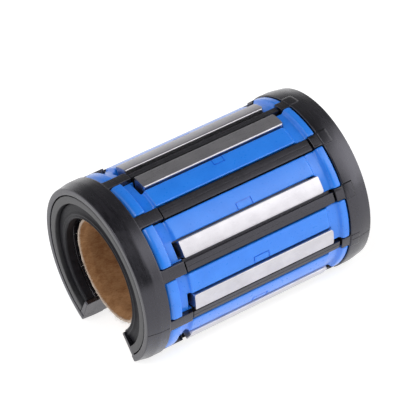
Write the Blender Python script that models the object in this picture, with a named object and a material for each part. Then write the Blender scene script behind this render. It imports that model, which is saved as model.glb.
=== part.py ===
"""Open-type linear ball bushing for a 20 mm shaft, with its transit tube.

The bushing's axis runs along X with the front face at -X, and the open slot faces straight down, so the part
stands on the four outer corners of its two end rings. The origin is under mid-length, on that surface.
Angles are in degrees about the axis, from +Y towards +Z: 90 is the top and 270 is the middle of the slot.
"""

import math

import bmesh
import bpy
from mathutils import Vector

MM = 0.001

# Driving dimensions, in millimetres
OUTER_R = 16.0
LENGTH = 45.0
SHAFT_R = 10.0
SLOT_HALF_ANGLE = 32.5
BALL_D = 2.0
GAP = 0.12  # between pieces that touch on the real bushing

# Circuits: ten places 36 degrees apart, two of them taken by the slot
CIRCUIT_PITCH = 36.0
WINDOW_HALF_ANGLE = 14.0
# (middle of the window, side of it that the load plate is on: 1 is the side with the larger angle)
CIRCUITS = [(216, 1), (180, 1), (144, 1), (108, -1), (72, 1), (36, -1), (0, -1), (-36, -1)]

HALF_LENGTH = LENGTH / 2
AXIS_Z = OUTER_R * math.cos(math.radians(SLOT_HALF_ANGLE))
ARC_START = -90 + SLOT_HALF_ANGLE
ARC_STOP = 270 - SLOT_HALF_ANGLE

# End rings
RING_WIDTH = 4.35
RING_LAND = 2.25  # the outer surface is a lead-in cone up to here, and cylindrical from here inwards
RING_FACE_R = 15.6
SEAL_SEAT_R = 14.5
SEAL_SEAT_DEPTH = 2.05
LIP_R = SHAFT_R + 0.15
BORE_R = 10.4
FRONT_FINGER_END = 8.85  # from the front face, where the rings' fingers meet the cage's bars
REAR_FINGER_END = 6.0  # from the rear face
FINGER_R = 15.8
END_WALL_ANGLE = 1.8  # a thin wall of the ring closes each end of the seal's seat at the slot
END_WALL_BOTTOM_R = 11.0
END_WALL_FACE_DEPTH = 0.3

# Cage
CAGE_HALF_LENGTH = HALF_LENGTH - RING_WIDTH - GAP
FLOOR_R = 13.5
BAR_R = 15.5
BAR_HALF_ANGLE = CIRCUIT_PITCH / 2 - WINDOW_HALF_ANGLE

# Ball rows, in the plane of each circuit
BALL_R = BALL_D / 2
BALL_PITCH = 2.03
ROW_BALLS = 14
LOADED_R = SHAFT_R + BALL_R
LOADED_ANGLE = 7.3  # from the middle of the window towards the load plate
RETURN_R = 12.4
RETURN_ANGLE = 6.3  # from the middle of the window, the other way
TURN_X = ROW_BALLS * BALL_PITCH / 2  # the straight rows end and the turns begin here
BALL_ROOM = 0.07

# Each row of balls is one solid: plain faceted beads that are joined at narrow necks
BEAD_R = 0.93
BEAD_SHOULDER = 0.4
BEAD_END = 0.92
NECK_R = 0.3
BEAD_SIDES = 5

# Load plates
PLATE_FRONT = -13.3
PLATE_REAR = 14.5
PLATE_TOP_HALF = 1.69
PLATE_FOOT_HALF = 1.45
STEM_HALF = 0.92
STEM_BOTTOM_R = LOADED_R + BALL_R + 0.08
PLATE_EDGE = 0.2

# Return covers
COVER_HALF_ANGLE = 13.5
COVER_BOTTOM_R = FLOOR_R + GAP
PAD_R = 15.7
LOW_R = 15.0
COVER_FRONT = -HALF_LENGTH + RING_WIDTH + 0.1
COVER_REAR = HALF_LENGTH - RING_WIDTH - 0.1
NOTCH_FRONT = -14.05
NOTCH_REAR = PLATE_REAR + GAP
FRONT_LOW = (-15.7, -13.9)
REAR_LOW = (14.2, 16.4)

# Transit tube
TUBE_OUTER_R = 9.55
TUBE_INNER_R = 8.56
TUBE_HALF_LENGTH = 20.2

ARC_STEPS = 59
SEAL_STEPS = 49
TUBE_STEPS = 48


def clear_scene():
    for obj in list(bpy.data.objects):
        bpy.data.objects.remove(obj)


def principled(name, colour, roughness, metallic=0.0):
    material = bpy.data.materials.new(name)
    material.use_nodes = True
    shader = material.node_tree.nodes["Principled BSDF"]
    shader.inputs["Base Color"].default_value = (*colour, 1.0)
    shader.inputs["Roughness"].default_value = roughness
    shader.inputs["Metallic"].default_value = metallic
    return material


def polar(x, radius, angle):
    """A point in the bushing's frame, whose X axis is the shaft's."""
    a = math.radians(angle)
    return (x * MM, radius * math.cos(a) * MM, radius * math.sin(a) * MM)


def circuit_point(x, radius, offset):
    """A point in a circuit's frame, whose Z axis runs out through the middle of the window."""
    a = math.radians(offset)
    return (x * MM, -radius * math.sin(a) * MM, radius * math.cos(a) * MM)


def closed_mesh(name, bm):
    bmesh.ops.recalc_face_normals(bm, faces=bm.faces)
    mesh = bpy.data.meshes.new(name)
    bm.to_mesh(mesh)
    bm.free()
    mesh.set_sharp_from_angle(angle=math.radians(30))
    return mesh


def place(name, mesh, material, parent, location=(0, 0, 0)):
    obj = bpy.data.objects.new(name, mesh)
    bpy.context.collection.objects.link(obj)
    obj.parent = parent
    obj.location = location
    if not mesh.materials:
        mesh.materials.append(material)
    return obj


def empty(name, parent=None, location=(0, 0, 0), turn=0.0):
    obj = bpy.data.objects.new(name, None)
    bpy.context.collection.objects.link(obj)
    obj.parent = parent
    obj.location = location
    obj.rotation_euler = (math.radians(turn), 0, 0)
    return obj


def loft(bm, loops, closed=False):
    """Joins loops of points, in order, into one closed skin: capped at both ends, or closed on itself."""
    rows = [[bm.verts.new(p) for p in loop] for loop in loops]
    count = len(rows[0])
    pairs = list(zip(rows, rows[1:]))
    if closed:
        pairs.append((rows[-1], rows[0]))
    for a, b in pairs:
        for i in range(count):
            j = (i + 1) % count
            bm.faces.new((a[i], a[j], b[j], b[i]))
    if not closed:
        bm.faces.new(rows[0])
        bm.faces.new(rows[-1])


def spread(start, stop, steps):
    return [start + (stop - start) * i / steps for i in range(steps + 1)]


def turned(profile, start=ARC_START, stop=ARC_STOP, steps=ARC_STEPS):
    """A profile of (x, radius) points turned about the axis, open between stop and start."""
    bm = bmesh.new()
    loft(bm, [[polar(x, r, a) for x, r in profile] for a in spread(start, stop, steps)])
    return bm


def sector(bm, x0, x1, r0, r1, start, stop, steps, point=polar):
    """A block between two radii and two angles."""
    corners = [(x0, r0), (x1, r0), (x1, r1), (x0, r1)]
    loft(bm, [[point(x, r, a) for x, r in corners] for a in spread(start, stop, steps)])


def boolean(target, operation, cutter):
    cutter.hide_render = True
    cutter.display_type = "WIRE"
    modifier = target.modifiers.new(cutter.name, "BOOLEAN")
    modifier.operation = operation
    modifier.solver = "EXACT"
    modifier.object = cutter


def helper(name, bm, parent):
    return place(name, closed_mesh(name, bm), None, parent)


def bar_spans():
    """The angles of the bars between the windows, and of the two beside the slot."""
    middles = [c + CIRCUIT_PITCH / 2 for c, _ in CIRCUITS[1:]]
    spans = [(m - BAR_HALF_ANGLE, m + BAR_HALF_ANGLE) for m in middles]
    first, last = CIRCUITS[-1][0], CIRCUITS[0][0]
    spans.append((ARC_START, first - WINDOW_HALF_ANGLE))
    spans.append((last + WINDOW_HALF_ANGLE, ARC_STOP))
    return spans


def bars(x0, x1, r0, r1):
    bm = bmesh.new()
    for start, stop in bar_spans():
        sector(bm, x0, x1, r0, r1, start, stop, 2)
    return bm


def end_ring(name, end, finger_end, material, axis):
    """The ring at one end, with a finger along each of the cage's bars. end is -1 at the front and 1 at the rear."""
    face = HALF_LENGTH
    inner = face - RING_WIDTH
    profile = [
        (face, SEAL_SEAT_R),
        (face, RING_FACE_R),
        (face - RING_LAND, OUTER_R),
        (inner, OUTER_R),
        (inner, BORE_R),
        (face - SEAL_SEAT_DEPTH, BORE_R),
        (face - SEAL_SEAT_DEPTH, SEAL_SEAT_R),
    ]
    ring = place(name, closed_mesh(name, turned([(end * x, r) for x, r in profile])), material, axis)
    fingers = bars(end * (face - finger_end), end * (inner + 1), FLOOR_R + GAP, FINGER_R)
    boolean(ring, "UNION", helper(name + "_fingers", fingers, axis))
    walls = bmesh.new()
    x0, x1 = end * (face - END_WALL_FACE_DEPTH), end * (face - SEAL_SEAT_DEPTH - 0.3)
    for start, stop in ((ARC_START, ARC_START + END_WALL_ANGLE), (ARC_STOP - END_WALL_ANGLE, ARC_STOP)):
        sector(walls, x0, x1, END_WALL_BOTTOM_R, SEAL_SEAT_R + 0.3, start, stop, 1)
    boolean(ring, "UNION", helper(name + "_walls", walls, axis))


def end_seal(name, end, material, axis):
    """A seal in its seat: a flat band, a step, and a conical lip that runs in towards the shaft."""
    face = HALF_LENGTH
    back = face - SEAL_SEAT_DEPTH + GAP
    profile = [
        (face - 0.05, SEAL_SEAT_R - GAP),
        (back, SEAL_SEAT_R - GAP),
        (back, 11.7),
        (face - 1.5, LIP_R),
        (face - 1.15, LIP_R),
        (face - 0.55, 11.6),
        (face - 0.45, 12.5),
        (face - 0.05, 12.6),
    ]
    clear = END_WALL_ANGLE + 0.5
    bm = turned([(end * x, r) for x, r in profile], ARC_START + clear, ARC_STOP - clear, SEAL_STEPS)
    place(name, closed_mesh(name, bm), material, axis)


def row_cutters(axis):
    """Grooves for both rows of every circuit, and the slots through which loaded balls reach the shaft."""
    grooves, slots = bmesh.new(), bmesh.new()
    half = BALL_R + BALL_ROOM
    for middle, side in CIRCUITS:
        for bm, offset, low, high, width, reach in (
            (grooves, LOADED_ANGLE, LOADED_R - 0.3, 14.0, half, PLATE_REAR + 0.2),
            (grooves, -RETURN_ANGLE, RETURN_R - half, 14.0, half, TURN_X + 0.1),
            (slots, LOADED_ANGLE, 9.5, LOADED_R, half - GAP, TURN_X - 0.1),
        ):
            angle = math.radians(middle + side * offset)
            out = (math.cos(angle), math.sin(angle))
            corners = [(-width, low), (width, low), (width, high), (-width, high)]
            outline = [(out[0] * r - out[1] * w, out[1] * r + out[0] * w) for w, r in corners]
            loft(bm, [[(x * MM, y * MM, z * MM) for y, z in outline] for x in (-reach, reach)])
    return helper("groove_cutter", grooves, axis), helper("slot_cutter", slots, axis)


def turn_frame(side):
    """Where a circuit turns: the middle between its rows and the step across to the return row, as (y, z)."""
    loaded = circuit_point(0, LOADED_R, side * LOADED_ANGLE)
    back = circuit_point(0, RETURN_R, -side * RETURN_ANGLE)
    centre = ((loaded[1] + back[1]) / 2, (loaded[2] + back[2]) / 2)
    across = (back[1] - loaded[1], back[2] - loaded[2])
    return centre, across


def turn_pockets(axis):
    """Half-round pockets where balls cross from one row to the other, with floors that climb to the return row."""
    bm = bmesh.new()
    steps = 8
    for middle, side in CIRCUITS:
        (cy, cz), (ay, az) = turn_frame(side)
        turn_radius = math.hypot(ay, az) / 2
        slope = az / ay
        drop = (BALL_R + BALL_ROOM) * MM * math.hypot(1, slope)
        half_x = turn_radius + (BALL_R + BALL_ROOM) * MM
        half_y = abs(ay) / 2 + (BALL_R + BALL_ROOM) * MM
        turn = math.radians(middle - 90)
        for end in (-1, 1):
            outline = [(-0.3 * MM, -half_y)]
            for a in spread(-90, 90, steps):
                a = math.radians(a)
                outline.append((half_x * math.cos(a), half_y * math.sin(a)))
            outline.append((-0.3 * MM, half_y))
            loops = []
            for level in ("floor", "top"):
                loop = []
                for x, y in outline:
                    z = cz + y * slope - drop if level == "floor" else 14.0 * MM
                    wy, wz = cy + y, z
                    loop.append((
                        end * (TURN_X * MM + x),
                        wy * math.cos(turn) - wz * math.sin(turn),
                        wy * math.sin(turn) + wz * math.cos(turn),
                    ))
                loops.append(loop)
            loft(bm, loops)
    return helper("turn_cutter", bm, axis)


def ball_cage(material, axis):
    """The moulded cage: a tube wall with bars between the windows, cut for the ball rows and their turns."""
    bm = turned([
        (-CAGE_HALF_LENGTH, BORE_R),
        (CAGE_HALF_LENGTH, BORE_R),
        (CAGE_HALF_LENGTH, FLOOR_R),
        (-CAGE_HALF_LENGTH, FLOOR_R),
    ])
    cage = place("ball_cage", closed_mesh("ball_cage", bm), material, axis)
    bar_front = -HALF_LENGTH + FRONT_FINGER_END + GAP
    bar_rear = HALF_LENGTH - REAR_FINGER_END - GAP
    boolean(cage, "UNION", helper("bar_shapes", bars(bar_front, bar_rear, FLOOR_R - 0.4, BAR_R), axis))
    grooves, slots = row_cutters(axis)
    for cutter in (grooves, slots, turn_pockets(axis)):
        boolean(cage, "DIFFERENCE", cutter)


def plate_outline(side, margin=0.0):
    """The load plate's cross-section in its circuit's frame: a broad back that stands on a narrow stem."""
    half = [
        (STEM_HALF, STEM_BOTTOM_R),
        (STEM_HALF, COVER_BOTTOM_R),
        (PLATE_FOOT_HALF, COVER_BOTTOM_R),
        (PLATE_TOP_HALF, OUTER_R - PLATE_EDGE - 0.1),
        (PLATE_TOP_HALF - PLATE_EDGE, OUTER_R - 0.1),
    ]
    crown = [(0.0, OUTER_R)]
    a = math.radians(side * LOADED_ANGLE)
    points = []
    for w, r in half + crown + [(-w, r) for w, r in reversed(half)]:
        points.append((-(r * math.sin(a) + w * math.cos(a)) * MM, (r * math.cos(a) - w * math.sin(a)) * MM))
    return points


def plate_mesh(side):
    bm = bmesh.new()
    loft(bm, [[(x * MM, y, z) for y, z in plate_outline(side)] for x in (PLATE_FRONT, PLATE_REAR)])
    return closed_mesh("load_plate", bm)


def cover_shape(side, axis):
    """The return cover: a C-shaped shell with a lip at each end, round the notch that the load plate lies in."""
    name = "cover_left" if side > 0 else "cover_right"
    body = bmesh.new()
    sector(body, COVER_FRONT, COVER_REAR, COVER_BOTTOM_R, PAD_R, -COVER_HALF_ANGLE, COVER_HALF_ANGLE, 6, circuit_point)
    shape = helper(name, body, axis)
    notch = bmesh.new()
    a = math.radians(side * LOADED_ANGLE)
    near = -(PLATE_TOP_HALF + GAP)
    corners = [(near, 12.5), (6.0, 12.5), (6.0, 17.0), (near, 17.0)]
    outline = []
    for w, r in corners:
        w = side * w
        outline.append((-(r * math.sin(a) + w * math.cos(a)) * MM, (r * math.cos(a) - w * math.sin(a)) * MM))
    loft(notch, [[(x * MM, y, z) for y, z in outline] for x in (NOTCH_FRONT, NOTCH_REAR)])
    low = bmesh.new()
    for x0, x1 in (FRONT_LOW, REAR_LOW):
        sector(low, x0, x1, LOW_R, 17.0, -20, 20, 6, circuit_point)
    boolean(shape, "DIFFERENCE", helper(name + "_low", low, axis))
    boolean(shape, "DIFFERENCE", helper(name + "_notch", notch, axis))
    return shape


def applied(shape):
    """The mesh of a shape with its modifiers, so that several objects can share it."""
    evaluated = shape.evaluated_get(bpy.context.evaluated_depsgraph_get())
    mesh = bpy.data.meshes.new_from_object(evaluated)
    mesh.name = shape.name
    mesh.materials.clear()
    return mesh


def bead_string(name, count, start, along):
    """A row of balls on one line from start, each joined to the next at a narrow neck. along is a unit vector."""
    along = Vector(along)
    side_a = along.orthogonal().normalized()
    side_b = along.cross(side_a)
    stations = [(-BEAD_END, NECK_R)]
    for i in range(count):
        middle = i * BALL_PITCH
        stations += [(middle - BEAD_SHOULDER, BEAD_R), (middle + BEAD_SHOULDER, BEAD_R)]
        last = i == count - 1
        stations.append((middle + (BEAD_END if last else BALL_PITCH / 2), NECK_R))
    loops = []
    for distance, radius in stations:
        centre = Vector(start) + along * distance * MM
        loop = []
        for i in range(BEAD_SIDES):
            a = math.tau * i / BEAD_SIDES
            loop.append(centre + (side_a * math.cos(a) + side_b * math.sin(a)) * radius * MM)
        loops.append(loop)
    bm = bmesh.new()
    loft(bm, loops)
    return closed_mesh(name, bm)


def row_mesh():
    first = -(ROW_BALLS - 1) * BALL_PITCH / 2
    return bead_string("ball_row", ROW_BALLS, (first * MM, 0, 0), (1, 0, 0))


def turn_mesh(side, end):
    """The two balls of a turn, about the turn's centre."""
    _, (ay, az) = turn_frame(side)
    across = math.hypot(ay, az)
    radius = across / 2
    half = BALL_PITCH * MM / 2
    along = end * math.sqrt(radius * radius - half * half)
    unit = (0, ay / across, az / across)
    return bead_string("turn_balls", 2, (along, -half * unit[1], -half * unit[2]), unit)


def circuit(number, middle, side, shared, axis):
    """One circuit in its own frame: its plate, its cover, both rows and both turns of balls."""
    frame = empty(f"circuit_{number}_frame", axis, turn=middle - 90)
    steel, blue = shared["steel"], shared["blue"]
    place(f"load_plate_{number}", shared["plate", side], steel, frame)
    place(f"return_cover_{number}", shared["cover", side], blue, frame)
    loaded = circuit_point(0, LOADED_R, side * LOADED_ANGLE)
    back = circuit_point(0, RETURN_R, -side * RETURN_ANGLE)
    place(f"loaded_balls_{number}", shared["row"], steel, frame, loaded)
    place(f"return_balls_{number}", shared["row"], steel, frame, back)
    (cy, cz), _ = turn_frame(side)
    for end, word in ((-1, "front"), (1, "rear")):
        place(f"{word}_turn_balls_{number}", shared["turn", side, end], steel, frame, (end * TURN_X * MM, cy, cz))


def transit_tube(material, axis):
    """The cardboard tube that keeps the balls in until the shaft goes in."""
    bm = bmesh.new()
    ends = (-TUBE_HALF_LENGTH, TUBE_HALF_LENGTH)
    profile = [
        (ends[0], TUBE_INNER_R),
        (ends[1], TUBE_INNER_R),
        (ends[1], TUBE_OUTER_R),
        (ends[0], TUBE_OUTER_R),
    ]
    angles = spread(0, 360, TUBE_STEPS)[:-1]
    loft(bm, [[polar(x, r, a) for x, r in profile] for a in angles], closed=True)
    place("transit_tube", closed_mesh("transit_tube", bm), material, axis)


def build():
    clear_scene()
    black = principled("black_plastic", (0.022, 0.022, 0.025), 0.38)
    seal_black = principled("seal_rubber", (0.018, 0.018, 0.02), 0.5)
    blue = principled("blue_plastic", (0.02, 0.17, 0.8), 0.32)
    steel = principled("bearing_steel", (0.72, 0.72, 0.74), 0.25, 1.0)
    card = principled("kraft_card", (0.2, 0.11, 0.05), 0.9)
    axis = empty("bushing_axis", location=(0, 0, AXIS_Z * MM))
    ball_cage(black, axis)
    end_ring("front_end_ring", -1, FRONT_FINGER_END, black, axis)
    end_ring("rear_end_ring", 1, REAR_FINGER_END, black, axis)
    end_seal("front_seal", -1, seal_black, axis)
    end_seal("rear_seal", 1, seal_black, axis)
    transit_tube(card, axis)
    shared = {"steel": steel, "blue": blue, "row": row_mesh()}
    for side in (-1, 1):
        shared["plate", side] = plate_mesh(side)
        shared["cover", side] = applied(cover_shape(side, axis))
        for end in (-1, 1):
            shared["turn", side, end] = turn_mesh(side, end)
    for number, (middle, side) in enumerate(CIRCUITS, start=1):
        circuit(number, middle, side, shared, axis)
    for obj in list(bpy.data.objects):
        if obj.name.startswith("cover_"):
            bpy.data.objects.remove(obj)


build()
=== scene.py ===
"""Looks of the open-type linear ball bushing: mouldings, ground steel, polished balls, card tube.

Lengths are in millimetres and angles in degrees until a mesh is finished. The shaft axis is X, with
the front face at -X. A flat shape has coordinates (x, s, h): s is the arc length at the outer
radius, counted from the middle of a window, and h is the radius. wrap() rolls it round the axis.
"""

import math
import random

import bmesh
import bpy
from mathutils import Matrix, Vector


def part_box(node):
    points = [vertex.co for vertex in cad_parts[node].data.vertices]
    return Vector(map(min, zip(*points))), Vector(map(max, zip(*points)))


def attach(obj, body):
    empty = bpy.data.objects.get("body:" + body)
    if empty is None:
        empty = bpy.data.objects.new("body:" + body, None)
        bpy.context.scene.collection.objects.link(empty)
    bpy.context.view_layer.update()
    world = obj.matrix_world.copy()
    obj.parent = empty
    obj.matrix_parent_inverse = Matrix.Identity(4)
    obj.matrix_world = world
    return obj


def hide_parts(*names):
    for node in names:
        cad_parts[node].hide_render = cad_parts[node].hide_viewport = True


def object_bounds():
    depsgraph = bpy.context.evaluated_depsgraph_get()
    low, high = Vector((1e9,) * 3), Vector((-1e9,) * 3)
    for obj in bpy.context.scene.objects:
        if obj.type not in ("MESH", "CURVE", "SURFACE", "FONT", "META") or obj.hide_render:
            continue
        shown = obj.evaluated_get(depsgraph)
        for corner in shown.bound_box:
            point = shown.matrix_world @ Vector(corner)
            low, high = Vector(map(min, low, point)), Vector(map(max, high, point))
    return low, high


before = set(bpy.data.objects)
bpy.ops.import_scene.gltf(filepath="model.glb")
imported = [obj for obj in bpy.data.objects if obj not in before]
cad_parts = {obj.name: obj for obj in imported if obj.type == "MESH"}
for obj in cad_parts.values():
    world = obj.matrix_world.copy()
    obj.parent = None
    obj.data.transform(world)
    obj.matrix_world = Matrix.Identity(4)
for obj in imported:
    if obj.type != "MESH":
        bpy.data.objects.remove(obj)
cad_low, cad_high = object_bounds()

MM = 0.001

# The frame. The tube's middle is the axis
tube_low, tube_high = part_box("transit_tube")
AXIS_Z = (tube_low.z + tube_high.z) / 2 / MM
HALF_LENGTH = cad_high.x / MM
OUTER_R = 16.0
SLOT_HALF_ANGLE = 32.5
ARC_START = -90 + SLOT_HALF_ANGLE
ARC_STOP = 270 - SLOT_HALF_ANGLE
GAP = 0.12

# A circuit: the angle of its window's middle, and the side of it that the load plate is on
CIRCUITS = [(216, 1), (180, 1), (144, 1), (108, -1), (72, 1), (36, -1), (0, -1), (-36, -1)]
CIRCUIT_PITCH = 36.0
WINDOW_HALF_ANGLE = 14.0
BAR_HALF_ANGLE = CIRCUIT_PITCH / 2 - WINDOW_HALF_ANGLE

# Edges that turn by more than this are rounded. The facets of a turned shape turn by less
EDGE_ANGLE = 50

# The end rings: fingers run along the bars, and a wall closes the seal's seat beside the slot
RING_WIDTH = 4.35
RING_LAND = 2.25
RING_FACE_R = 15.6
SEAL_SEAT_R = 14.5
SEAL_SEAT_DEPTH = 2.05
SEAL_PLAY = 0.2
BORE_R = 10.4
FRONT_FINGER_END = 8.85
REAR_FINGER_END = 6.0
FINGER_R = 15.8
FINGER_FLARE = 0.75
FINGER_OVERLAP = 0.8
FINGER_INSET = 0.02
FRONT_SEAM = 0.34
REAR_SEAM = 0.32
END_WALL_ANGLE = 4.2
END_WALL_BOTTOM_R = 10.4
END_WALL_SETBACK = 0.1
END_WALL_OVERLAP = 0.3
END_WALL_INSET = 0.05
PARTING_ANGLES = (197.5, -17.5)
PARTING_DEPTH = 0.07
PARTING_HALF = 0.06
RECESS_DEPTH = 0.05

# The cage. Each side of a bar has a step, given by width and depth, which is deeper beside a plate
FLOOR_R = 13.5
BAR_R = 15.5
BAR_ROOT = 0.4
BAR_LINE = 0.05
PLAIN_STEP = (0.14, 0.1)
PLATE_STEP = (0.42, 0.9)
BESIDE_PLATE = 8
CAGE_HALF_LENGTH = HALF_LENGTH - RING_WIDTH - GAP

# The balls, and the tracks that leave them room
BALL_R = 1.0
BALL_PITCH = 2.03
ROW_BALLS = 14
LOADED_R = 11.0
LOADED_ANGLE = 7.3
RETURN_R = 12.4
RETURN_ANGLE = 6.3
TURN_X = ROW_BALLS * BALL_PITCH / 2
BALL_ROOM = 0.07
TRACK_R = BALL_R + BALL_ROOM
TRACK_TOP_R = 14.0

# The load plates
PLATE_FRONT = -13.3
PLATE_REAR = 14.5
PLATE_HALF = 1.55
PLATE_FOOT_HALF = 1.28
PLATE_EDGE = 0.26
PLATE_FRONT_CORNER = 0.35
PLATE_REAR_CORNER = 0.5
STEM_HALF = 0.92
GROOVE_R = 1.05
GROOVE_START = 32

# The return covers. Their rounding is delicate: with other values, or another step in the plan,
# faces may cross or the cover may vanish
COVER_CRUMBS = 0.05
COVER_ROUNDING = 0.2
COVER_END = HALF_LENGTH - RING_WIDTH - 0.1
COVER_BOTTOM_R = FLOOR_R + GAP
LIP_TOP_R = 15.78
PAD_R = 15.6
PAD_EDGE_ANGLE = -12.85
LOW_R = 15.0
NOTCH_FRONT = -14.05
NOTCH_REAR = PLATE_REAR + GAP

# A snap tab's ends along X, by the side of the plate, and the line that is cut round it
TABS = {1: (-1.1, 2.0), -1: (-0.45, 1.75)}
TAB_NEAR_ANGLE = 2.0
TAB_FAR_ANGLE = -4.3
TAB_LINE = 0.19
TAB_DEPTH = 0.2

# The card tube: its wall gets thinner towards the ends, and the cut edges are uneven
TUBE_OUTER_R = 9.55
TUBE_INNER_R = 8.56
TUBE_HALF_LENGTH = (tube_high.x - tube_low.x) / 2 / MM
TUBE_END_WALL = 0.38
TUBE_TAPER = 1.6
TUBE_STEPS = 240
UNEVEN_LENGTH = 1.5
UNEVEN_WAVES = 14
FIBRES_AT_AN_END = 300
SEED = 7

# The room. A dark place: toward, half angle where it starts, half angle where it is full, how dark
ROOM_LEFT = 0.6
ROOM_RIGHT = 2.2
FLOOR_SIZE = 3.0
FLOOR_GLOW = 0.78
DARK_PLACES = [
    ((0.40, 0.50, 0.77), 65, 20, 0.89),
    ((-0.40, -0.74, 0.53), 42, 22, 0.95),
    ((0.03, -0.99, 0.10), 27, 12, 0.92),
    ((0.02, -0.20, 0.98), 34, 14, 0.92),
]

# A soft box: its name, where it stands in metres, how wide it is and its power
SOFT_BOX_AIM = (0, 0, 0.0135)
SOFT_BOXES = [
    ("key", (0.60, -0.33, 0.24), 0.7, 1.2),
    ("top", (-0.36, -0.24, 0.58), 0.35, 1.5),
]

# The camera, in degrees and metres
CAMERA_AZIMUTH = 28.52
CAMERA_ELEVATION = 32.09
CAMERA_ROLL = 8.85
CAMERA_DISTANCE = 0.4906
CAMERA_AIM = (-0.00336, -0.00445, 0.02178)
CAMERA_SENSOR = 36
CAMERA_LENS = 266.4


# ---------------------------------------------------------------- shapes


def arc_mm(angle):
    """The arc length of an angle at the outer radius."""
    return math.radians(angle) * OUTER_R


def spread(start, stop, steps):
    return [start + (stop - start) * i / steps for i in range(steps + 1)]


def filleted(points, steps=5):
    """An outline of (x, y) points, of which those given as (x, y, radius) are rounded."""
    out = []
    count = len(points)
    for i, point in enumerate(points):
        here = Vector(point[:2])
        radius = point[2] if len(point) > 2 else 0
        if not radius:
            out.append(tuple(here))
            continue
        a = Vector(points[i - 1][:2]) - here
        b = Vector(points[(i + 1) % count][:2]) - here
        half = a.angle(b) / 2
        reach = min(radius / math.tan(half), 0.49 * min(a.length, b.length))
        radius = reach * math.tan(half)
        a.normalize()
        b.normalize()
        centre = here + (a + b).normalized() * (radius / math.sin(half))
        start = here + a * reach - centre
        stop = here + b * reach - centre
        turn = start.angle_signed(stop)
        for k in range(steps + 1):
            angle = -turn * k / steps
            c, s = math.cos(angle), math.sin(angle)
            out.append((centre.x + start.x * c - start.y * s, centre.y + start.x * s + start.y * c))
    return out


def at_end(end, points):
    """An outline given for the rear end (1), rounded, and mirrored for the front end (-1)."""
    return filleted([(end * p[0], *p[1:]) for p in points])


def loft(bm, loops, closed=False):
    """Joins loops of points into one closed skin: capped at both ends, or closed on itself."""
    rows = [[bm.verts.new(p) for p in loop] for loop in loops]
    count = len(rows[0])
    pairs = list(zip(rows, rows[1:]))
    if closed:
        pairs.append((rows[-1], rows[0]))
    for a, b in pairs:
        for i in range(count):
            j = (i + 1) % count
            bm.faces.new((a[i], a[j], b[j], b[i]))
    if not closed:
        bm.faces.new(rows[0])
        bm.faces.new(rows[-1])


def prism(outline, along, low, high):
    """A closed prism. along names the coordinate it runs along: x, s or h."""
    order = {"x": (2, 0, 1), "s": (0, 2, 1), "h": (0, 1, 2)}[along]
    loops = []
    for level in (low, high):
        loops.append([tuple((p[0], p[1], level)[k] for k in order) for p in outline])
    bm = bmesh.new()
    loft(bm, loops)
    return bm


def working(bm):
    """A working object from a closed skin."""
    bmesh.ops.recalc_face_normals(bm, faces=bm.faces)
    mesh = bpy.data.meshes.new("working")
    bm.to_mesh(mesh)
    bm.free()
    obj = bpy.data.objects.new("working", mesh)
    bpy.context.collection.objects.link(obj)
    return obj


def apply_modifiers(obj):
    graph = bpy.context.evaluated_depsgraph_get()
    mesh = bpy.data.meshes.new_from_object(obj.evaluated_get(graph))
    obj.modifiers.clear()
    obj.data = mesh
    return obj


def combine(obj, operation, bm):
    """A Boolean with a closed skin as the other shape, applied."""
    tool = working(bm)
    modifier = obj.modifiers.new("cut", "BOOLEAN")
    modifier.operation = operation
    modifier.solver = "EXACT"
    modifier.object = tool
    apply_modifiers(obj)
    bpy.data.objects.remove(tool)
    return obj


def without_short_edges(obj, shortest):
    """Merges the crumbs that a Boolean leaves, so that a bevel can have its full width."""
    bm = copied(obj)
    bmesh.ops.dissolve_degenerate(bm, dist=shortest, edges=bm.edges)
    bm.to_mesh(obj.data)
    bm.free()
    return obj


def bevel(obj, width, segments=2, angle=40, clamp=True):
    modifier = obj.modifiers.new("edges", "BEVEL")
    modifier.use_clamp_overlap = clamp
    modifier.width = width
    modifier.segments = segments
    modifier.limit_method = "ANGLE"
    modifier.angle_limit = math.radians(angle)
    modifier.miter_outer = "MITER_ARC"
    return apply_modifiers(obj)


def copied(obj):
    """The mesh of a working object, as a bmesh."""
    bm = bmesh.new()
    bm.from_mesh(obj.data)
    return bm


def taken(obj):
    """The same, and the object is removed."""
    bm = copied(obj)
    bpy.data.objects.remove(obj)
    return bm


def polar(x, radius, angle):
    """A point in the frame, in metres."""
    a = math.radians(angle)
    return Vector((x, radius * math.cos(a), radius * math.sin(a) + AXIS_Z)) * MM


def wrap(bm, middle, step=0.35):
    """Rolls a flat shape round the axis, with enough cuts along it to stay round."""
    low = min(v.co.y for v in bm.verts)
    high = max(v.co.y for v in bm.verts)
    count = max(1, round((high - low) / step))
    for s in spread(low, high, count)[1:-1]:
        parts = bm.verts[:] + bm.edges[:] + bm.faces[:]
        bmesh.ops.bisect_plane(bm, geom=parts, plane_co=(0, s, 0), plane_no=(0, 1, 0), dist=1e-5)
    for v in bm.verts:
        v.co = polar(v.co.x, v.co.z, middle + math.degrees(v.co.y / OUTER_R))
    return bm


def turned(profile, start=ARC_START, stop=ARC_STOP, step=1.25):
    """An (x, radius) profile turned about the axis, in millimetres and about the axis itself."""
    steps = round((stop - start) / step)
    bm = bmesh.new()
    loops = []
    for angle in spread(start, stop, steps):
        a = math.radians(angle)
        loops.append([(x, r * math.cos(a), r * math.sin(a)) for x, r in profile])
    loft(bm, loops)
    return bm


def to_frame(bm):
    """From millimetres about the axis to metres in the frame."""
    for v in bm.verts:
        v.co = Vector((v.co.x, v.co.y, v.co.z + AXIS_Z)) * MM
    return bm


def from_frame(bm):
    for v in bm.verts:
        v.co = Vector((v.co.x / MM, v.co.y / MM, v.co.z / MM - AXIS_Z))
    return bm


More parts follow.
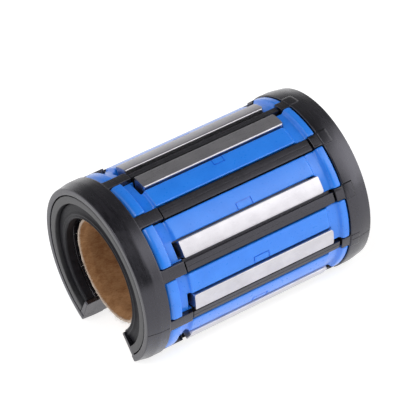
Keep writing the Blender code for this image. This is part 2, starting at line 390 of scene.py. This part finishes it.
def piece(name, bm, material, body, nodes, smooth=32):
    """A finished piece: shaded, weighted, riding on its body and standing for its CAD nodes."""
    bmesh.ops.remove_doubles(bm, verts=bm.verts, dist=2e-7)
    bmesh.ops.recalc_face_normals(bm, faces=bm.faces)
    mesh = bpy.data.meshes.new(name)
    bm.to_mesh(mesh)
    bm.free()
    mesh.shade_smooth()
    mesh.set_sharp_from_angle(angle=math.radians(smooth))
    mesh.materials.append(material)
    obj = bpy.data.objects.new(name, mesh)
    bpy.context.collection.objects.link(obj)
    weighted = obj.modifiers.new("shading", "WEIGHTED_NORMAL")
    weighted.keep_sharp = True
    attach(obj, body)
    if nodes:
        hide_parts(*nodes)
    return obj


# ---------------------------------------------------------------- materials


class Nodes:
    """A short way to write the nodes of a material, or of the room."""

    def __init__(self, owner, shader="Principled BSDF"):
        owner.use_nodes = True
        self.owner = owner
        self.tree = owner.node_tree
        self.shader = self.tree.nodes[shader]

    def add(self, kind, inputs=None, **settings):
        node = self.tree.nodes.new(kind)
        for key, value in settings.items():
            setattr(node, key, value)
        for key, value in (inputs or {}).items():
            if isinstance(value, bpy.types.NodeSocket):
                self.tree.links.new(value, node.inputs[key])
            else:
                node.inputs[key].default_value = value
        return node

    def place(self, scale):
        """Object coordinates in millimetres, stretched by scale."""
        coordinates = self.add("ShaderNodeTexCoord").outputs["Object"]
        inputs = {"Vector": coordinates, "Scale": tuple(s / MM for s in scale)}
        return self.add("ShaderNodeMapping", inputs).outputs["Vector"]

    def noise(self, scale, detail=3.0, roughness=0.55, stretch=(1, 1, 1)):
        place = self.place(tuple(s * scale for s in stretch))
        inputs = {"Vector": place, "Scale": 1.0, "Detail": detail, "Roughness": roughness}
        return self.add("ShaderNodeTexNoise", inputs).outputs["Fac"]

    def ramp(self, value, low, high, to_low, to_high, **settings):
        inputs = {
            "Value": value,
            "From Min": low,
            "From Max": high,
            "To Min": to_low,
            "To Max": to_high,
        }
        return self.add("ShaderNodeMapRange", inputs, **settings).outputs["Result"]

    def mix(self, factor, a, b):
        node = self.add("ShaderNodeMix", data_type="RGBA")
        self.join(factor, node.inputs[0])
        for socket, colour in ((node.inputs[6], a), (node.inputs[7], b)):
            self.join(colour, socket)
        return node.outputs[2]

    def join(self, value, socket):
        if isinstance(value, bpy.types.NodeSocket):
            self.tree.links.new(value, socket)
        elif isinstance(value, tuple):
            socket.default_value = (*value, 1.0)
        else:
            socket.default_value = value

    def math(self, operation, a, b):
        return self.add("ShaderNodeMath", {0: a, 1: b}, operation=operation).outputs[0]

    def weighed(self, a, share_a, b, share_b):
        a, b = self.math("MULTIPLY", a, share_a), self.math("MULTIPLY", b, share_b)
        return self.math("ADD", a, b)

    def bump(self, height, strength, distance, under=None):
        inputs = {"Height": height, "Strength": strength, "Distance": distance * MM}
        if under is not None:
            inputs["Normal"] = under
        return self.add("ShaderNodeBump", inputs).outputs["Normal"]

    def set(self, **values):
        for key, value in values.items():
            self.join(value, self.shader.inputs[key.replace("_", " ")])
        return self.owner


def new_material(name):
    return Nodes(bpy.data.materials.new(name))


def black_plastic(name, stretch, streak_depth):
    """Moulded black plastic. Its flow lines run where stretch is small."""
    n = new_material(name)
    cloud = n.noise(0.35, detail=4)
    streaks = n.noise(3.2, detail=4, roughness=0.6, stretch=stretch)
    grain = n.noise(16, detail=2)
    tone = n.ramp(n.weighed(streaks, 0.6, cloud, 0.4), 0.35, 0.65, 0, 1)
    colour = n.mix(tone, (0.006, 0.006, 0.0075), (0.011, 0.0105, 0.0135))
    rough = n.ramp(n.math("ADD", streaks, cloud), 0.7, 1.3, 0.2, 0.34)
    normal = n.bump(grain, 0.12, 0.02, n.bump(streaks, streak_depth, 0.03))
    return n.set(
        Base_Color=colour,
        Roughness=rough,
        Normal=normal,
        Specular_IOR_Level=0.85,
        Specular_Tint=(0.9, 0.88, 1.0),
    )


def seal_rubber(name, specular):
    n = new_material(name)
    cloud = n.noise(0.8, detail=4)
    grain = n.noise(9, detail=3)
    tone = n.ramp(cloud, 0.35, 0.65, 0, 1)
    colour = n.mix(tone, (0.009, 0.009, 0.0115), (0.016, 0.0155, 0.02))
    rough = n.ramp(grain, 0.3, 0.7, 0.36, 0.54)
    normal = n.bump(grain, 0.2, 0.03)
    return n.set(Base_Color=colour, Roughness=rough, Normal=normal, Specular_IOR_Level=specular)


def blue_plastic():
    n = new_material("blue_plastic")
    cloud = n.noise(0.3, detail=3)
    peel = n.noise(2.2, detail=2)
    colour = n.mix(n.ramp(cloud, 0.3, 0.7, 0, 1), (0.011, 0.2, 0.82), (0.019, 0.235, 0.9))
    rough = n.ramp(peel, 0.3, 0.7, 0.26, 0.38)
    normal = n.bump(peel, 0.06, 0.03)
    return n.set(
        Base_Color=colour,
        Roughness=rough,
        Normal=normal,
        Coat_Weight=0.45,
        Coat_Roughness=0.16,
    )


def plate_steel():
    n = new_material("plate_steel")
    ground = n.noise(9, detail=5, roughness=0.65, stretch=(0.04, 1, 1))
    grain = n.noise(14, detail=3)
    cloud = n.noise(0.4, detail=3)
    colour = n.mix(n.ramp(cloud, 0.3, 0.7, 0, 1), (0.545, 0.53, 0.565), (0.63, 0.615, 0.65))
    rough = n.ramp(n.math("ADD", ground, grain), 0.7, 1.3, 0.24, 0.42)
    normal = n.bump(ground, 0.14, 0.02, n.bump(grain, 0.1, 0.015))
    return n.set(Base_Color=colour, Roughness=rough, Normal=normal, Metallic=1.0)


def ball_steel():
    n = new_material("ball_steel")
    cloud = n.noise(0.9, detail=2)
    rough = n.ramp(cloud, 0.3, 0.7, 0.06, 0.14)
    colour = n.mix(cloud, (0.7, 0.7, 0.72), (0.82, 0.82, 0.84))
    return n.set(Base_Color=colour, Roughness=rough, Metallic=1.0)


def kraft_card():
    """Brown inside and out, paler and looser at the cut ends."""
    n = new_material("kraft_card")
    cloud = n.noise(0.45, detail=5, roughness=0.6)
    fibre = n.noise(5, detail=4, roughness=0.7, stretch=(0.35, 1, 1))
    speck = n.noise(3, detail=3, roughness=0.7)
    blend = n.ramp(n.weighed(cloud, 0.6, fibre, 0.4), 0.38, 0.62, 0, 1)
    body = n.mix(blend, (0.232, 0.107, 0.042), (0.425, 0.232, 0.11))
    body = n.mix(n.ramp(speck, 0.62, 0.74, 0, 0.5), body, (0.08, 0.04, 0.02))
    along = n.add("ShaderNodeSeparateXYZ", {"Vector": n.place((1, 1, 1))}).outputs["X"]
    reach = n.math("ADD", n.math("ABSOLUTE", along, 0.0), n.math("MULTIPLY", fibre, 0.5))
    end = n.ramp(reach, TUBE_HALF_LENGTH - 0.1, TUBE_HALF_LENGTH + 0.25, 0, 1)
    colour = n.mix(n.math("MULTIPLY", end, 0.85), body, (0.72, 0.63, 0.54))
    normal = n.bump(fibre, 0.6, 0.08, n.bump(cloud, 0.4, 0.12))
    return n.set(Base_Color=colour, Roughness=0.92, Normal=normal, Specular_IOR_Level=0.2)


def fibre_card():
    n = new_material("card_fibre")
    tone = n.noise(1.5, detail=2)
    colour = n.mix(tone, (0.6, 0.53, 0.46), (0.85, 0.82, 0.78))
    return n.set(Base_Color=colour, Roughness=0.95)


# ---------------------------------------------------------------- pieces


def bar_spans():
    """The angles of the bars between the windows, and of the two beside the slot."""
    middles = [c + CIRCUIT_PITCH / 2 for c, _ in CIRCUITS[1:]]
    spans = [(m, m - BAR_HALF_ANGLE, m + BAR_HALF_ANGLE) for m in middles]
    first, last = CIRCUITS[-1][0] - WINDOW_HALF_ANGLE, CIRCUITS[0][0] + WINDOW_HALF_ANGLE
    spans.append(((ARC_START + first) / 2, ARC_START, first))
    spans.append(((ARC_STOP + last) / 2, last, ARC_STOP))
    return spans


def ring_profile(end):
    face = HALF_LENGTH
    inner = face - RING_WIDTH
    return at_end(end, [
        (face, SEAL_SEAT_R, 0.08),
        (face, RING_FACE_R, 0.22),
        (face - RING_LAND, OUTER_R, 4 if end < 0 else 9),
        (inner, OUTER_R, 0.22),
        (inner, BORE_R),
        (face - SEAL_SEAT_DEPTH, BORE_R, 0.15),
        (face - SEAL_SEAT_DEPTH, SEAL_SEAT_R),
    ])


def finger(end, finger_end, middle, start, stop):
    """A flat finger that flares where it leaves the ring, and keeps square at the slot."""
    root = HALF_LENGTH - RING_WIDTH
    tip = HALF_LENGTH - finger_end
    inside = root + FINGER_OVERLAP
    at_slot_low, at_slot_high = start == ARC_START, stop == ARC_STOP
    low = arc_mm(start - middle) + (FINGER_INSET if at_slot_low else 0)
    high = arc_mm(stop - middle) - (FINGER_INSET if at_slot_high else 0)
    points = [(inside, low - (0 if at_slot_low else FINGER_FLARE))]
    if not at_slot_low:
        points += [(root, low - FINGER_FLARE, 0), (root, low, FINGER_FLARE)]
    points += [(tip, low, 0.1), (tip, high, 0.1)]
    if not at_slot_high:
        points += [(root, high, FINGER_FLARE), (root, high + FINGER_FLARE, 0)]
    points.append((inside, high + (0 if at_slot_high else FINGER_FLARE)))
    obj = working(prism(at_end(end, points), "h", FLOOR_R + GAP, FINGER_R))
    return from_frame(wrap(taken(bevel(obj, 0.18, 3)), middle))


def end_ring(name, end, finger_end, material):
    """A ring with its end walls, fingers, parting lines and, at the rear, shallow recesses."""
    ring = bevel(working(turned(ring_profile(end))), 0.12, angle=EDGE_ANGLE)
    outside = HALF_LENGTH - END_WALL_SETBACK
    inside = HALF_LENGTH - SEAL_SEAT_DEPTH - END_WALL_OVERLAP
    top = SEAL_SEAT_R + END_WALL_OVERLAP
    profile = at_end(end, [
        (outside, END_WALL_BOTTOM_R, 0.25),
        (outside, top),
        (inside, top),
        (inside, END_WALL_BOTTOM_R),
    ])
    walls = (
        (ARC_START + END_WALL_INSET, ARC_START + END_WALL_ANGLE),
        (ARC_STOP - END_WALL_ANGLE, ARC_STOP - END_WALL_INSET),
    )
    for start, stop in walls:
        wall = bevel(working(turned(profile, start, stop, 0.6)), 0.08, angle=EDGE_ANGLE)
        combine(ring, "UNION", taken(wall))
    for middle, start, stop in bar_spans():
        combine(ring, "UNION", finger(end, finger_end, middle, start, stop))
    for angle in PARTING_ANGLES:
        combine(ring, "DIFFERENCE", parting_line(end, angle))
    if end > 0:
        for middle, _, _ in bar_spans()[:-2]:
            combine(ring, "DIFFERENCE", ring_recess(end, middle))
    bm = to_frame(taken(ring))
    return piece(name + "_moulding", bm, material, "bushing", [name])


def parting_line(end, angle):
    """A hair-thin groove where the mould's halves met."""
    outside = end * (HALF_LENGTH + 0.1)
    land = end * (HALF_LENGTH - RING_LAND)
    inside = end * (HALF_LENGTH - RING_WIDTH + 0.3)
    outline = [
        (outside, RING_FACE_R - PARTING_DEPTH),
        (land, OUTER_R - PARTING_DEPTH),
        (inside, OUTER_R - PARTING_DEPTH),
        (inside, OUTER_R + 1),
        (outside, OUTER_R + 1),
    ]
    return from_frame(wrap(prism(outline, "s", -PARTING_HALF, PARTING_HALF), angle))


def ring_recess(end, middle):
    """The shallow recess in the rear ring's land, in line with a bar."""
    root = HALF_LENGTH - RING_WIDTH
    half = arc_mm(BAR_HALF_ANGLE) + 0.15
    outline = at_end(end, [
        (root - 0.5, -half),
        (root + 1.8, -half, 0.15),
        (root + 1.8, half, 0.15),
        (root - 0.5, half),
    ])
    return from_frame(wrap(prism(outline, "h", OUTER_R - RECESS_DEPTH, OUTER_R + 1), middle))


def end_seal(name, end, materials):
    """A flat band and, a step below it, a softer ridged lip that reaches for the shaft."""
    face = HALF_LENGTH
    back = face - SEAL_SEAT_DEPTH + GAP
    band = [
        (face - 0.05, SEAL_SEAT_R - SEAL_PLAY, 0.12),
        (back, SEAL_SEAT_R - SEAL_PLAY, 0.1),
        (back, 12.75),
        (face - 0.05, 12.95, 0.15),
    ]
    lip = [
        (face - 0.8, 12.7),
        (back, 12.6),
        (back, 10.12, 0.1),
        (face - 0.55, 10.12, 0.2),
        (face - 0.34, 10.4, 0.12),
        (face - 0.52, 10.68, 0.1),
        (face - 0.4, 11.0, 0.12),
        (face - 0.66, 11.35, 0.2),
        (face - 0.8, 12.0, 0.3),
    ]
    clear = END_WALL_ANGLE + 0.3
    for word, points, material in (("band", band, materials[0]), ("lip", lip, materials[1])):
        part = working(turned(at_end(end, points), ARC_START + clear, ARC_STOP - clear))
        bm = to_frame(taken(bevel(part, 0.1, angle=EDGE_ANGLE)))
        nodes = [name] if word == "band" else []
        piece(f"{name}_{word}", bm, material, "bushing", nodes)


def cage_bars():
    """Bars, rolled into place, with a centre line and steps that are deeper beside a plate."""
    bars = []
    front = -HALF_LENGTH + FRONT_FINGER_END + FRONT_SEAM
    rear = HALF_LENGTH - REAR_FINGER_END - REAR_SEAM
    root_r = FLOOR_R - BAR_ROOT
    plates = [c + side * LOADED_ANGLE for c, side in CIRCUITS]
    for middle, start, stop in bar_spans():
        low, high = arc_mm(start - middle), arc_mm(stop - middle)
        plate_low = any(0 < start - angle < BESIDE_PLATE for angle in plates)
        plate_high = any(0 < angle - stop < BESIDE_PLATE for angle in plates)
        low_width, low_step = PLATE_STEP if plate_low else PLAIN_STEP
        high_width, high_step = PLATE_STEP if plate_high else PLAIN_STEP
        low_in = low if start == ARC_START else low + low_width
        high_in = high if stop == ARC_STOP else high - high_width
        centre = (low_in + high_in) / 2
        outline = [(low, root_r)]
        if low_in > low:
            outline += [(low, BAR_R - low_step), (low_in, BAR_R - low_step)]
        outline += [
            (low_in, BAR_R),
            (centre - BAR_LINE, BAR_R),
            (centre - BAR_LINE, BAR_R - BAR_LINE),
            (centre + BAR_LINE, BAR_R - BAR_LINE),
            (centre + BAR_LINE, BAR_R),
            (high_in, BAR_R),
        ]
        if high_in < high:
            outline += [(high_in, BAR_R - high_step), (high, BAR_R - high_step)]
        outline.append((high, root_r))
        obj = bevel(working(prism(outline, "x", front, rear)), 0.05, angle=EDGE_ANGLE)
        bars.append(from_frame(wrap(taken(obj), middle)))
    return bars


def radial_box(middle, width, low, high, reach):
    """A box along the axis that points out from it, from the radius low to the radius high."""
    angle = math.radians(middle)
    out = (math.cos(angle), math.sin(angle))
    corners = [(-width, low), (width, low), (width, high), (-width, high)]
    outline = [(out[0] * r - out[1] * w, out[1] * r + out[0] * w) for w, r in corners]
    bm = bmesh.new()
    loft(bm, [[(x, y, z) for y, z in outline] for x in (-reach, reach)])
    return bm


def circuit_point(radius, offset):
    """(y, z) in a circuit's frame, whose Z axis runs out through the middle of the window."""
    a = math.radians(offset)
    return -radius * math.sin(a), radius * math.cos(a)


def turn_frame(side):
    """A turn's middle in a circuit's frame, and the step from the loaded row to the return row."""
    loaded = circuit_point(LOADED_R, side * LOADED_ANGLE)
    back = circuit_point(RETURN_R, -side * RETURN_ANGLE)
    centre = ((loaded[0] + back[0]) / 2, (loaded[1] + back[1]) / 2)
    return centre, (back[0] - loaded[0], back[1] - loaded[1])


def turned_out(y, z, middle):
    """(y, z) about the axis, from those in the frame of a circuit at a middle angle."""
    turn = math.radians(middle - 90)
    return y * math.cos(turn) - z * math.sin(turn), y * math.sin(turn) + z * math.cos(turn)


def in_circuit(bm, middle):
    """From a circuit's frame, in millimetres, to metres in the frame."""
    for v in bm.verts:
        v.co = Vector((v.co.x, *turned_out(v.co.y, v.co.z, middle)))
    return to_frame(bm)


def turn_pocket(middle, side, end):
    """The room for a turn: its floor slopes from the loaded track up to the return track."""
    (cy, cz), (ay, az) = turn_frame(side)
    slope = az / ay
    drop = TRACK_R * math.hypot(1, slope)
    half_x = math.hypot(ay, az) / 2 + TRACK_R
    half_y = abs(ay) / 2 + TRACK_R
    outline = [(-0.3, -half_y)]
    for a in spread(-90, 90, 16):
        a = math.radians(a)
        outline.append((half_x * math.cos(a), half_y * math.sin(a)))
    outline.append((-0.3, half_y))
    loops = []
    for at_top in (False, True):
        loop = []
        for x, y in outline:
            z = TRACK_TOP_R if at_top else cz + y * slope - drop
            loop.append((end * (TURN_X + x), *turned_out(y + cy, z, middle)))
        loops.append(loop)
    bm = bmesh.new()
    loft(bm, loops)
    return bm


def ball_cage(material):
    """The cage with its bars, cut open for both rows of balls and for the turns."""
    profile = filleted([
        (-CAGE_HALF_LENGTH, BORE_R, 0.15),
        (CAGE_HALF_LENGTH, BORE_R, 0.15),
        (CAGE_HALF_LENGTH, FLOOR_R, 0.1),
        (-CAGE_HALF_LENGTH, FLOOR_R, 0.1),
    ], 2)
    cage = working(turned(profile))
    for bar in cage_bars():
        combine(cage, "UNION", bar)
    for middle, side in CIRCUITS:
        loaded, back = middle + side * LOADED_ANGLE, middle - side * RETURN_ANGLE
        cuts = [
            radial_box(loaded, TRACK_R, LOADED_R - 0.3, TRACK_TOP_R, PLATE_REAR + 0.2),
            radial_box(back, TRACK_R, RETURN_R - TRACK_R, TRACK_TOP_R, TURN_X + 0.1),
            radial_box(loaded, TRACK_R - GAP, 9.5, LOADED_R, TURN_X - 0.1),
            turn_pocket(middle, side, -1),
            turn_pocket(middle, side, 1),
        ]
        for cut in cuts:
            combine(cage, "DIFFERENCE", cut)
    bm = to_frame(taken(cage))
    return piece("ball_cage_moulding", bm, material, "bushing", ["ball_cage"])


def cover_flat(side):
    """The return cover, flat: its plan cut through its side view, so that a lip rolls across it."""
    end = COVER_END
    plan = [
        (-end, -13.5, 0.3),
        (-14.4, -13.5),
        (-13.95, PAD_EDGE_ANGLE),
        (14.3, PAD_EDGE_ANGLE),
        (14.75, -13.5),
        (end, -13.5, 0.3),
        (end, 13.6, 0.3),
        (NOTCH_REAR, 13.6, 0.3),
        (NOTCH_REAR, 0.85, 0.5),
        (NOTCH_FRONT, 0.85, 0.2),
        (NOTCH_FRONT, 13.7, 0.3),
        (-end, 13.7, 0.3),
    ]
    plan = filleted([(p[0], side * arc_mm(p[1]), *p[2:]) for p in plan], 3)
    view = filleted([
        (-end, COVER_BOTTOM_R),
        (-end, LIP_TOP_R, 1.8),
        (-15.8, LIP_TOP_R, 0.25),
        (-15.65, LOW_R - 0.22, 0.25),
        (-13.65, LOW_R + 0.03, 0.15),
        (-13.42, PAD_R, 0.18),
        (14.1, PAD_R, 0.2),
        (14.45, LOW_R + 0.08, 0.25),
        (16.35, LOW_R, 0.25),
        (16.7, LIP_TOP_R, 0.5),
        (end, LIP_TOP_R, 0.35),
        (end, COVER_BOTTOM_R),
    ], 6)
    cover = working(prism(plan, "h", COVER_BOTTOM_R - 1, 17))
    combine(cover, "INTERSECT", prism(view, "s", -6, 6))
    bevel(without_short_edges(cover, COVER_CRUMBS), COVER_ROUNDING, 3, 42, clamp=False)
    corners = ((-15.5, 13.05), (-13.5, 13.05), (-13.5, 13.8), (-15.5, 13.8))
    low, high = COVER_BOTTOM_R + 0.02, LOW_R - 0.08
    rim = prism([(x, side * arc_mm(a)) for x, a in corners], "h", low, high)
    combine(cover, "UNION", taken(bevel(working(rim), 0.04)))
    return combine(cover, "DIFFERENCE", snap_tab(side))


def snap_tab(side):
    """The thin U-shaped line round the cover's snap tab, open to the load plate."""
    x0, x1 = TABS[side]
    near, far = arc_mm(TAB_NEAR_ANGLE), arc_mm(TAB_FAR_ANGLE)
    outline = [
        (x0, near),
        (x0, far),
        (x1, far),
        (x1, near),
        (x1 - TAB_LINE, near),
        (x1 - TAB_LINE, far + TAB_LINE),
        (x0 + TAB_LINE, far + TAB_LINE),
        (x0 + TAB_LINE, near),
    ]
    return prism([(x, side * s) for x, s in outline], "h", PAD_R - TAB_DEPTH, PAD_R + 1)


def plate_shape():
    """A ground plate: a back that follows the outside, rounded edges and a ball groove below."""
    flat = PLATE_HALF - PLATE_EDGE
    half = math.degrees(math.asin(flat / OUTER_R))
    corner = math.sqrt(OUTER_R ** 2 - flat ** 2) - PLATE_EDGE
    edge = []
    for a in spread(0.12, math.pi / 2, 6):
        edge.append((flat + PLATE_EDGE * math.sin(a), corner + PLATE_EDGE * math.cos(a)))
    back = [(-across, up) for across, up in reversed(edge)]
    for a in spread(half, -half, 14):
        back.append((-OUTER_R * math.sin(math.radians(a)), OUTER_R * math.cos(math.radians(a))))
    groove = []
    for a in spread(GROOVE_START, 180 - GROOVE_START, 12):
        a = math.radians(a)
        groove.append((GROOVE_R * math.cos(a), LOADED_R + GROOVE_R * math.sin(a)))
    section = [
        (-STEM_HALF, COVER_BOTTOM_R),
        (-PLATE_FOOT_HALF, COVER_BOTTOM_R),
        *back,
        *edge,
        (PLATE_FOOT_HALF, COVER_BOTTOM_R),
        (STEM_HALF, COVER_BOTTOM_R),
        (STEM_HALF, groove[0][1]),
        *groove,
        (-STEM_HALF, groove[-1][1]),
    ]
    plate = working(prism(section, "x", PLATE_FRONT, PLATE_REAR))
    wide = PLATE_HALF + 0.01
    plan = filleted([
        (PLATE_FRONT, -wide, PLATE_FRONT_CORNER),
        (PLATE_REAR, -wide, PLATE_REAR_CORNER),
        (PLATE_REAR, wide, PLATE_REAR_CORNER),
        (PLATE_FRONT, wide, PLATE_FRONT_CORNER),
    ])
    combine(plate, "INTERSECT", prism([(x, -s) for x, s in plan], "h", 9, 18))
    return bevel(plate, 0.06, angle=30)


def ball_cluster(centres):
    bm = bmesh.new()
    for centre in centres:
        made = bmesh.ops.create_icosphere(bm, subdivisions=3, radius=BALL_R)
        bmesh.ops.translate(bm, verts=made["verts"], vec=centre)
    return bm


def circuit_balls(number, middle, side, steel):
    """Both rows and both turns of one circuit, as separate polished balls."""
    first = -(ROW_BALLS - 1) * BALL_PITCH / 2
    rows = (
        ("loaded_balls", circuit_point(LOADED_R, side * LOADED_ANGLE)),
        ("return_balls", circuit_point(RETURN_R, -side * RETURN_ANGLE)),
    )
    for word, (y, z) in rows:
        name = f"{word}_{number}"
        bm = ball_cluster([(first + i * BALL_PITCH, y, z) for i in range(ROW_BALLS)])
        piece(name + "_polished", in_circuit(bm, middle), steel, name, [name], 180)
    (cy, cz), (ay, az) = turn_frame(side)
    across = math.hypot(ay, az)
    along = math.sqrt(across * across / 4 - BALL_PITCH * BALL_PITCH / 4)
    share = BALL_PITCH / 2 / across
    for end, word in ((-1, "front_turn_balls"), (1, "rear_turn_balls")):
        name = f"{word}_{number}"
        x = end * (TURN_X + along)
        centres = [(x, cy + sign * share * ay, cz + sign * share * az) for sign in (-1, 1)]
        bm = in_circuit(ball_cluster(centres), middle)
        piece(name + "_polished", bm, steel, name, [name], 180)


def covers_and_plates(blue, steel):
    flats = {side: cover_flat(side) for side in (-1, 1)}
    plate = plate_shape()
    for number, (middle, side) in enumerate(CIRCUITS, start=1):
        cover = wrap(copied(flats[side]), middle)
        node = f"return_cover_{number}"
        piece(node + "_moulding", cover, blue, "bushing", [node])
        node = f"load_plate_{number}"
        bm = in_circuit(copied(plate), middle + side * LOADED_ANGLE)
        piece(node + "_ground", bm, steel, node, [node], 25)
    for obj in (*flats.values(), plate):
        bpy.data.objects.remove(obj)


def transit_tube(material, fibre):
    """A card tube with slightly uneven cut ends and loose fibres on them."""
    draw = random.Random(SEED)
    waves = []
    for _ in range(UNEVEN_WAVES):
        waves.append((draw.uniform(0.01, 0.05), draw.randint(2, 40), draw.uniform(0, math.tau)))

    def uneven(a, shift):
        return sum(size * math.sin(times * a + phase + shift) for size, times, phase in waves) * 0.5

    ends = TUBE_HALF_LENGTH
    thin_r = TUBE_OUTER_R - TUBE_END_WALL
    profile = filleted([
        (-ends, thin_r, 0.08),
        (-ends + TUBE_TAPER, TUBE_INNER_R, 2),
        (ends - TUBE_TAPER, TUBE_INNER_R, 2),
        (ends, thin_r, 0.08),
        (ends, TUBE_OUTER_R, 0.15),
        (-ends, TUBE_OUTER_R, 0.15),
    ], 3)
    stations = []
    for (x0, r0), (x1, r1) in zip(profile, profile[1:] + profile[:1]):
        count = 30 if abs(x1 - x0) > 5 else 1
        for i in range(count):
            stations.append((x0 + (x1 - x0) * i / count, r0 + (r1 - r0) * i / count))
    loops = []
    for i in range(TUBE_STEPS):
        a = math.tau * i / TUBE_STEPS
        loop = []
        for x, r in stations:
            edge = max(0.0, (abs(x) - (ends - UNEVEN_LENGTH)) / UNEVEN_LENGTH)
            shift = 0.0 if x < 0 else 2.0
            x -= math.copysign(0.06 + uneven(a, shift) * 0.8, x) * edge
            r += uneven(a + 1.0, shift) * 0.35 * edge
            loop.append(polar(x, r, math.degrees(a)))
        loops.append(loop)
    bm = bmesh.new()
    loft(bm, loops, closed=True)
    piece("transit_tube_card", bm, material, "transit_tube", ["transit_tube"], 50)
    for end, word in ((-1, "front"), (1, "rear")):
        fibres = bmesh.new()
        for _ in range(FIBRES_AT_AN_END):
            add_fibre(fibres, draw, end)
        piece(f"card_fibres_{word}", fibres, fibre, "transit_tube", [], 180)


def add_fibre(bm, draw, end):
    """A loose fibre: a thin tapered strand that curls away from the cut edge. Most are low down."""
    angle = draw.choice((draw.uniform(0, 360), draw.gauss(255, 30), draw.gauss(270, 30)))
    radius = draw.uniform(TUBE_OUTER_R - 0.4, TUBE_OUTER_R)
    at = polar(end * (TUBE_HALF_LENGTH - 0.25), radius, angle)
    heading = Vector((end * draw.uniform(0.15, 1.0), draw.uniform(-1, 1), draw.uniform(-1, 1)))
    heading.normalize()
    curl = Vector((draw.uniform(-1, 1), draw.uniform(-1, 1), draw.uniform(-1, 1))) * 0.5
    length = draw.uniform(0.2, 0.95) * MM
    thick = draw.uniform(0.014, 0.035) * MM
    steps, sides = 5, 4
    loops = []
    for k in range(steps + 1):
        side = heading.orthogonal().normalized()
        other = heading.cross(side)
        width = thick * (1 - 0.8 * k / steps)
        turns = [math.tau * j / sides for j in range(sides)]
        loops.append([at + (side * math.cos(t) + other * math.sin(t)) * width for t in turns])
        at = at + heading * length / steps
        heading = (heading + curl / steps).normalized()
    loft(bm, loops)


# ---------------------------------------------------------------- stage


def stage():
    """A pale floor, a bright room and soft boxes."""
    bm = bmesh.new()
    bmesh.ops.create_grid(bm, x_segments=2, y_segments=2, size=FLOOR_SIZE)
    mesh = bpy.data.meshes.new("floor")
    bm.to_mesh(mesh)
    bm.free()
    n = new_material("pale_floor")
    mesh.materials.append(n.set(
        Base_Color=(0.5, 0.5, 0.5),
        Roughness=0.8,
        Emission_Color=(1.0, 1.0, 1.0),
        Emission_Strength=FLOOR_GLOW,
    ))
    floor = bpy.data.objects.new("floor", mesh)
    bpy.context.collection.objects.link(floor)

    room()
    for name, location, size, power in SOFT_BOXES:
        soft_box(name, location, size, power)


def room():
    """Brighter towards the right, with dark places behind, overhead and round the camera."""
    world = bpy.data.worlds.new("room")
    bpy.context.scene.world = world
    n = Nodes(world, "Background")
    direction = n.add("ShaderNodeTexCoord").outputs["Generated"]
    across = n.add("ShaderNodeSeparateXYZ", {"Vector": direction}).outputs["X"]
    level = n.ramp(across, -1.0, 1.0, ROOM_LEFT, ROOM_RIGHT)
    for toward, wide, narrow, depth in DARK_PLACES:
        inputs = {0: direction, 1: Vector(toward).normalized()}
        dot = n.add("ShaderNodeVectorMath", inputs, operation="DOT_PRODUCT").outputs["Value"]
        limits = [math.cos(math.radians(a)) for a in (wide, narrow)]
        fall = n.ramp(dot, *limits, 1.0, 1.0 - depth, interpolation_type="SMOOTHSTEP")
        level = n.math("MULTIPLY", level, fall)
    n.set(Strength=level, Color=(1.0, 1.0, 1.0))


def soft_box(name, location, size, power):
    light = bpy.data.lights.new(name, "AREA")
    light.shape = "SQUARE"
    light.size = size
    light.energy = power
    obj = bpy.data.objects.new(name, light)
    obj.location = location
    toward = Vector(SOFT_BOX_AIM) - Vector(location)
    obj.rotation_euler = toward.to_track_quat("-Z", "Y").to_euler()
    bpy.context.collection.objects.link(obj)


def camera():
    """A long lens, above the front end and a little rolled."""
    azimuth = math.radians(CAMERA_AZIMUTH)
    elevation = math.radians(CAMERA_ELEVATION)
    forward = Vector((
        math.sin(azimuth) * math.cos(elevation),
        math.cos(azimuth) * math.cos(elevation),
        -math.sin(elevation),
    ))
    data = bpy.data.cameras.new("camera")
    data.sensor_width = CAMERA_SENSOR
    data.lens = CAMERA_LENS
    data.clip_start, data.clip_end = 0.01, 20
    obj = bpy.data.objects.new("camera", data)
    place = Matrix.Translation(Vector(CAMERA_AIM) - forward * CAMERA_DISTANCE)
    facing = forward.to_track_quat("-Z", "Y").to_matrix().to_4x4()
    roll = Matrix.Rotation(-math.radians(CAMERA_ROLL), 4, "Z")
    obj.matrix_world = place @ facing @ roll
    bpy.context.collection.objects.link(obj)
    bpy.context.scene.camera = obj


def main():
    camera()
    black = black_plastic("black_plastic", (0.05, 1, 1), 0.12)
    ring_black = black_plastic("ring_plastic", (0.6, 0.12, 0.12), 0.08)
    rubber = seal_rubber("seal_band_rubber", 0.8), seal_rubber("seal_lip_rubber", 0.16)
    end_ring("front_end_ring", -1, FRONT_FINGER_END, ring_black)
    end_ring("rear_end_ring", 1, REAR_FINGER_END, ring_black)
    end_seal("front_seal", -1, rubber)
    end_seal("rear_seal", 1, rubber)
    ball_cage(black)
    covers_and_plates(blue_plastic(), plate_steel())
    polished = ball_steel()
    for number, (middle, side) in enumerate(CIRCUITS, start=1):
        circuit_balls(number, middle, side, polished)
    transit_tube(kraft_card(), fibre_card())
    stage()
    bpy.context.scene.view_settings.view_transform = "Standard"


main()
